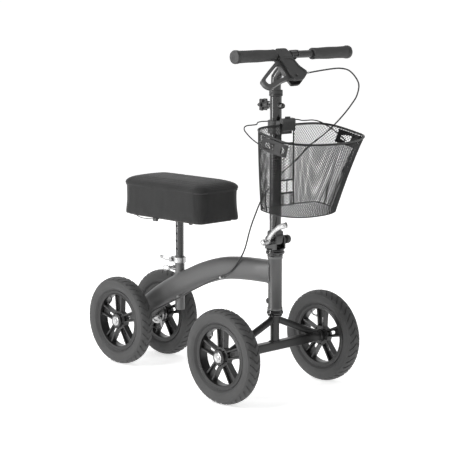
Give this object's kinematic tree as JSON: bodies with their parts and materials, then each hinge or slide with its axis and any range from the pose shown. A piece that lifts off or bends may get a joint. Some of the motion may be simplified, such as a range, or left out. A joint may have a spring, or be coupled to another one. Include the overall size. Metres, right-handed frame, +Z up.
{
  "type": "knee scooter",
  "caption": "Knee scooter with spoked wheels, an arched frame, a padded knee rest, a folding steering column with a looped brake lever, and a basket.",
  "frame": {"origin": "centre of the footprint on the floor", "axes": "+Z up, the rider faces -Y, +X is the rider's left"},
  "size_m": [0.5144, 1.0768, 1.1169],
  "materials": {
    "grey_paint": "matte",
    "black_paint": "gloss",
    "black_plastic": "matte",
    "steel": "satin",
    "rubber": "matte",
    "foam": "matte",
    "fabric": "matte",
    "wood": "matte",
    "wire": "satin"
  },
  "bodies": {
    "frame": {"main_tube": "grey_paint", "head_tube": "grey_paint", "cup_top": "black_paint", "cup_bottom": "black_paint", "rear_beam": "grey_paint", "rear_axle": "steel", "seat_tube": "black_paint", "seat_clamp": "steel", "brake_cover": "steel", "cable_frame": "black_plastic"},
    "steering": {"fork_beam": "grey_paint", "fork_post": "grey_paint", "fork_brace_left": "grey_paint", "fork_brace_right": "grey_paint", "front_axle": "steel", "crown_race": "black_paint", "steerer": "steel", "fold_base": "black_paint", "fold_skewer": "steel", "cable_steer": "black_plastic"},
    "tiller": {"tiller": "black_paint", "tiller_collar": "black_plastic", "fold_foot": "black_paint", "basket_clamp": "black_plastic", "cable_tiller": "black_plastic"},
    "handlebar": {"upper_tube": "black_paint", "handlebar": "black_paint", "grip_left": "foam", "grip_right": "foam", "brake_housing": "black_plastic", "barrel_adjuster": "steel", "cable_bar": "black_plastic"},
    "brake_lever": {"brake_lever": "black_plastic"},
    "brake_arm": {"brake_arm": "steel"},
    "star_knob": {"star_knob": "black_plastic"},
    "fold_knob": {"fold_knob": "black_plastic"},
    "cam_lever": {"cam_lever": "steel"},
    "seat": {"seat_post": "black_paint", "seat_bracket": "black_paint", "seat_board": "wood", "seat_cushion": "fabric", "drawcord": "fabric", "cord_lock": "black_plastic"},
    "seat_lever": {"seat_clamp_lever": "steel"},
    "pull_pin": {"pull_pin": "steel"},
    "basket": {"basket_shell": "wire", "basket_rim": "wire", "basket_saddle": "black_plastic"},
    "bail": {"bail": "wire"},
    "wheel_front_left": {"tyre_front_left": "rubber", "rim_front_left": "black_plastic"},
    "wheel_front_right": {"tyre_front_right": "rubber", "rim_front_right": "black_plastic"},
    "wheel_rear_left": {"tyre_rear_left": "rubber", "rim_rear_left": "black_plastic", "brake_drum": "steel"},
    "wheel_rear_right": {"tyre_rear_right": "rubber", "rim_rear_right": "black_plastic"}
  },
  "joints": [
    {"name": "steer", "type": "hinge", "parent": "frame", "child": "steering", "pos_m": [0, -0.265, 0.36], "axis": [0, 0, 1], "range_deg": [-35, 35], "deforming": ["cable_steer"]},
    {"name": "fold", "type": "hinge", "parent": "steering", "child": "tiller", "pos_m": [0, -0.265, 0.497], "axis": [-1, 0, 0], "range_deg": [0, 38], "deforming": ["cable_tiller"]},
    {"name": "bar_height", "type": "slide", "parent": "tiller", "child": "handlebar", "axis": [0, 0, 1], "range_m": [-0.015, 0.1], "deforming": ["cable_bar"]},
    {"name": "brake_squeeze", "type": "hinge", "parent": "handlebar", "child": "brake_lever", "pos_m": [-0.062, -0.40618, 1.02842], "axis": [0, 0.7071, -0.7071], "range_deg": [0, 10], "stiffness_Nm_per_rad": 3},
    {"name": "brake_arm_turn", "type": "hinge", "parent": "frame", "child": "brake_arm", "pos_m": [0.0585, 0.361, 0.1425], "axis": [1, 0, 0], "range_deg": [-15, 0]},
    {"name": "star_knob_turn", "type": "hinge", "parent": "tiller", "child": "star_knob", "pos_m": [0, -0.209, 0.932], "axis": [0, 1, 0], "range_deg": [0, 360]},
    {"name": "fold_knob_turn", "type": "hinge", "parent": "steering", "child": "fold_knob", "pos_m": [0.05, -0.265, 0.497], "axis": [1, 0, 0], "range_deg": [0, 360]},
    {"name": "cam_lever_turn", "type": "hinge", "parent": "steering", "child": "cam_lever", "pos_m": [-0.039, -0.265, 0.497], "axis": [1, 0, 0], "range_deg": [0, 75]},
    {"name": "seat_height", "type": "slide", "parent": "frame", "child": "seat", "axis": [0, 0, 1], "range_m": [-0.05, 0.03]},
    {"name": "seat_lever_turn", "type": "hinge", "parent": "frame", "child": "seat_lever", "pos_m": [-0.016, 0.221, 0.378], "axis": [1, 0, 0], "range_deg": [0, 80]},
    {"name": "pin_pull", "type": "slide", "parent": "frame", "child": "pull_pin", "axis": [-0.7507, 0.6606, 0], "range_m": [0, 0.008], "stiffness_N_per_m": 200},
    {"name": "basket_lift", "type": "slide", "parent": "tiller", "child": "basket", "axis": [0, 0, 1], "range_m": [0, 0.015]},
    {"name": "bail_swing", "type": "hinge", "parent": "basket", "child": "bail", "pos_m": [0, -0.4, 0.816], "axis": [1, 0, 0], "range_deg": [0, 6]},
    {"name": "front_left_spin", "type": "hinge", "parent": "steering", "child": "wheel_front_left", "pos_m": [0.23, -0.263, 0.1525], "axis": [1, 0, 0], "continuous": true},
    {"name": "front_right_spin", "type": "hinge", "parent": "steering", "child": "wheel_front_right", "pos_m": [-0.23, -0.263, 0.1525], "axis": [1, 0, 0], "continuous": true},
    {"name": "rear_left_spin", "type": "hinge", "parent": "frame", "child": "wheel_rear_left", "pos_m": [0.1036, 0.387, 0.1525], "axis": [1, 0, 0], "continuous": true},
    {"name": "rear_right_spin", "type": "hinge", "parent": "frame", "child": "wheel_rear_right", "pos_m": [-0.1036, 0.387, 0.1525], "axis": [1, 0, 0], "continuous": true}
  ],
  "couplings": [
    {"joint": "brake_arm_turn", "follows": "brake_squeeze", "ratio": -1.5}
  ]
}
